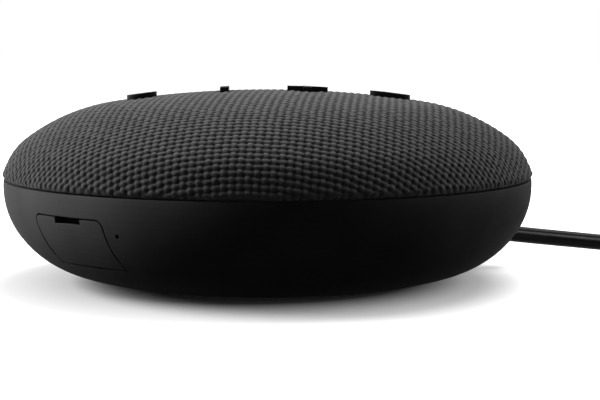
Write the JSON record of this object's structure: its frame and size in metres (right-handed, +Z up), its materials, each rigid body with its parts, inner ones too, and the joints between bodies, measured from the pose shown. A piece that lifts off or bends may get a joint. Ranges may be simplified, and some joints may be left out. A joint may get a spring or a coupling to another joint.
{
  "type": "conference speakerphone",
  "caption": "Round tabletop speakerphone: a woven fabric dome with raised keys over a satin bowl with a flush storage hatch, a rubber foot and a fixed USB lead.",
  "frame": {"origin": "on the table under the middle of the round body, at the foot ring's lower face", "axes": "+Z up from the table; +X to the right in the picture, the side where the lead leaves; the picture is taken from -Y"},
  "size_m": [0.2182, 0.1318, 0.0475],
  "materials": {
    "cover_weave": "grey-black plain weave",
    "shell_black": "satin black, fine spark texture",
    "key_black": "smooth satin black",
    "inner_black": "moulded black",
    "foot_rubber": "matt rubber",
    "lead_black": "smooth black jacket",
    "steel": "plain steel",
    "ferrite": "sintered ferrite",
    "board_green": "solder mask",
    "shield": "tinned sheet",
    "header_white": "moulded header",
    "copper": "enamelled wire",
    "spider_cloth": "resin-dipped cloth",
    "cone_paper": "coated paper",
    "ribbon": "polyimide film"
  },
  "bodies": {
    "base": {"base_shell": "shell_black", "foot_ring": "foot_rubber", "base_screws": "steel", "hatch_pin": "steel", "storage_bay": "inner_black", "fabric_cover": "cover_weave", "grille_dome": "inner_black", "hem_ring": "inner_black", "key_board": "board_green", "key_switches": "steel", "key_board_screws": "steel", "key_ribbon": "ribbon", "speaker_carrier": "inner_black", "carrier_screws": "steel", "driver_basket": "inner_black", "driver_gasket": "foot_rubber", "driver_screws": "steel", "driver_magnet": "ferrite", "driver_yoke": "steel", "driver_top_plate": "steel", "surround": "foot_rubber", "spider": "spider_cloth", "main_board": "board_green", "shield_can": "shield", "board_connectors": "header_white", "board_screws": "steel", "mic_boot": "foot_rubber", "mic_board": "board_green", "strain_relief": "lead_black", "cable_clamp": "inner_black", "clamp_screws": "steel", "inner_lead": "lead_black", "cable_run": "lead_black", "cable_coil": "lead_black", "coil_tie": "cover_weave", "plug_body": "key_black", "plug_shell": "steel", "plug_insert": "inner_black"},
    "hatch": {"hatch_door": "shell_black"},
    "call": {"call_key": "key_black", "call_plunger": "inner_black"},
    "volume_down": {"volume_down_key": "key_black", "volume_down_plunger": "inner_black"},
    "volume_up": {"volume_up_key": "key_black", "volume_up_plunger": "inner_black"},
    "mute": {"mute_key": "key_black", "mute_plunger": "inner_black"},
    "cone": {"speaker_cone": "cone_paper", "voice_coil": "copper", "dust_cap": "cone_paper"}
  },
  "joints": [
    {"name": "hatch_hinge", "type": "hinge", "parent": "base", "child": "hatch", "pos_m": [-0.03964, -0.04177, 0.01114], "axis": [0.7254, -0.6884, 0], "range_deg": [0, 60]},
    {"name": "call_press", "type": "slide", "parent": "base", "child": "call", "axis": [0, 0, -1], "range_m": [0, 0.0005], "stiffness_N_per_m": 3000},
    {"name": "volume_down_press", "type": "slide", "parent": "base", "child": "volume_down", "axis": [0, 0, -1], "range_m": [0, 0.0005], "stiffness_N_per_m": 3000},
    {"name": "volume_up_press", "type": "slide", "parent": "base", "child": "volume_up", "axis": [0, 0, -1], "range_m": [0, 0.0005], "stiffness_N_per_m": 3000},
    {"name": "mute_press", "type": "slide", "parent": "base", "child": "mute", "axis": [0, 0, -1], "range_m": [0, 0.0005], "stiffness_N_per_m": 3000},
    {"name": "cone_stroke", "type": "slide", "parent": "base", "child": "cone", "axis": [0, 0, 1], "range_m": [-0.0015, 0.0015], "stiffness_N_per_m": 1500, "deforming": ["surround", "spider"]}
  ]
}
